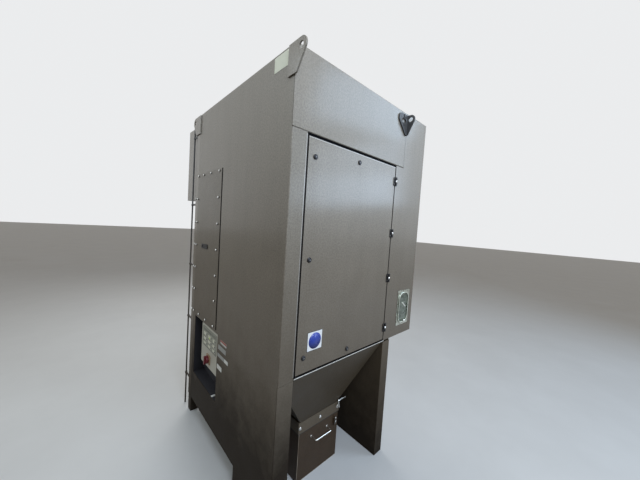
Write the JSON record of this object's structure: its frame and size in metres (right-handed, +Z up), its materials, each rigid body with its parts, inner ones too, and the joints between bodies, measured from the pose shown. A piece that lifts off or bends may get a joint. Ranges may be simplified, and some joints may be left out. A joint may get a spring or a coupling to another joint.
{
  "type": "dust collector",
  "caption": "Tall sheet-metal cartridge dust collector with a hinged filter door, side inlet, hopper, pull-out dust bin, built-in fan and side control box.",
  "frame": {"origin": "centre of the bounding box's bottom face, on the floor", "axes": "+Z up, +X to the right of someone facing the filter door, -Y the side of the filter door"},
  "size_m": [1.3238, 1.6454, 2.405],
  "materials": {
    "textured_coat": "dark grey textured powder coat",
    "dark_coat": "dark satin coat",
    "black_plastic": "matt black",
    "zinc_plate": "zinc plated",
    "bright_steel": "bright steel",
    "beige_box": "light beige",
    "switch_red": "dark red",
    "switch_yellow": "orange yellow",
    "seal_rubber": "black",
    "filter_media": "off-white pleated media",
    "machine_paint": "grey blue"
  },
  "bodies": {
    "cabinet": {"air_pipe": "dark_coat", "bin_seal": "seal_rubber", "control_box": "beige_box", "control_panel": "beige_box", "cover_grip": "black_plastic", "door_frame": "textured_coat", "door_sill": "textured_coat", "fan_casing": "machine_paint", "fan_deck": "zinc_plate", "fan_motor": "machine_paint", "filter_cartridge_1": "filter_media", "filter_cartridge_2": "filter_media", "filter_cartridge_3": "filter_media", "filter_cartridge_4": "filter_media", "front_fascia": "textured_coat", "hinge_post_leaf_1": "black_plastic", "hinge_post_leaf_2": "black_plastic", "hinge_post_leaf_3": "black_plastic", "hinge_post_leaf_4": "black_plastic", "hopper": "textured_coat", "hopper_collar": "textured_coat", "inlet_spigot": "zinc_plate", "inlet_wing": "textured_coat", "inspection_plate": "zinc_plate", "left_leg": "textured_coat", "left_side_panel": "textured_coat", "lifting_bracket_front_right": "dark_coat", "lifting_lug_front_left": "textured_coat", "lifting_lug_rear_left": "textured_coat", "lifting_lug_rear_right": "textured_coat", "outlet_cowl": "textured_coat", "partition_wall": "zinc_plate", "pulse_tank": "machine_paint", "rear_leg_left": "dark_coat", "rear_leg_right": "dark_coat", "rear_panel": "textured_coat", "recess_tray": "dark_coat", "right_leg": "textured_coat", "right_side_panel": "textured_coat", "roof_panel": "textured_coat", "service_cover": "textured_coat", "switch_plate": "switch_yellow", "tube_sheet": "zinc_plate"},
    "door": {"filter_door": "textured_coat", "door_gasket": "seal_rubber", "hinge_door_leaf_1": "black_plastic", "hinge_door_leaf_2": "black_plastic", "hinge_door_leaf_3": "black_plastic", "hinge_door_leaf_4": "black_plastic"},
    "lock_1": {"door_lock_1": "zinc_plate"},
    "lock_2": {"door_lock_2": "zinc_plate"},
    "lock_3": {"door_lock_3": "zinc_plate"},
    "lock_4": {"door_lock_4": "zinc_plate"},
    "lock_5": {"door_lock_5": "zinc_plate"},
    "switch": {"main_switch": "switch_red"},
    "bin": {"dust_bin": "textured_coat", "bin_handle": "bright_steel"},
    "latch": {"latch_lever": "bright_steel"},
    "clamp": {"collar_clamp": "bright_steel"},
    "wheel": {"fan_wheel": "zinc_plate"}
  },
  "joints": [
    {"name": "door_hinge", "type": "hinge", "parent": "cabinet", "child": "door", "pos_m": [0.2364, -0.75295, 1.43], "axis": [0, 0, 1], "range_deg": [0, 120]},
    {"name": "lock_1_turn", "type": "hinge", "parent": "door", "child": "lock_1", "pos_m": [-0.4816, -0.74565, 1.934], "axis": [0, 1, 0], "range_deg": [0, 90]},
    {"name": "lock_2_turn", "type": "hinge", "parent": "door", "child": "lock_2", "pos_m": [-0.1466, -0.74565, 1.976], "axis": [0, -1, 0], "range_deg": [0, 90]},
    {"name": "lock_3_turn", "type": "hinge", "parent": "door", "child": "lock_3", "pos_m": [-0.4816, -0.74565, 1.43], "axis": [0, 1, 0], "range_deg": [0, 90]},
    {"name": "lock_4_turn", "type": "hinge", "parent": "door", "child": "lock_4", "pos_m": [-0.4816, -0.74565, 0.93], "axis": [0, 1, 0], "range_deg": [0, 90]},
    {"name": "lock_5_turn", "type": "hinge", "parent": "door", "child": "lock_5", "pos_m": [-0.1466, -0.74565, 0.887], "axis": [0, 1, 0], "range_deg": [0, 90]},
    {"name": "switch_turn", "type": "hinge", "parent": "cabinet", "child": "switch", "pos_m": [-0.6276, 0.12035, 0.6], "axis": [1, 0, 0], "range_deg": [0, 90]},
    {"name": "bin_slide", "type": "slide", "parent": "cabinet", "child": "bin", "axis": [0, -1, 0], "range_m": [0, 0.6]},
    {"name": "latch_turn", "type": "hinge", "parent": "bin", "child": "latch", "pos_m": [-0.0016, -0.56775, 0.248], "axis": [1, 0, 0], "range_deg": [0, 150]},
    {"name": "clamp_turn", "type": "hinge", "parent": "cabinet", "child": "clamp", "pos_m": [0.0224, -0.56095, 0.354], "axis": [0, 1, 0], "range_deg": [0, 90]},
    {"name": "fan_spin", "type": "hinge", "parent": "cabinet", "child": "wheel", "pos_m": [-0.1551, 0.09915, 2.215], "axis": [0, 1, 0], "continuous": true}
  ]
}
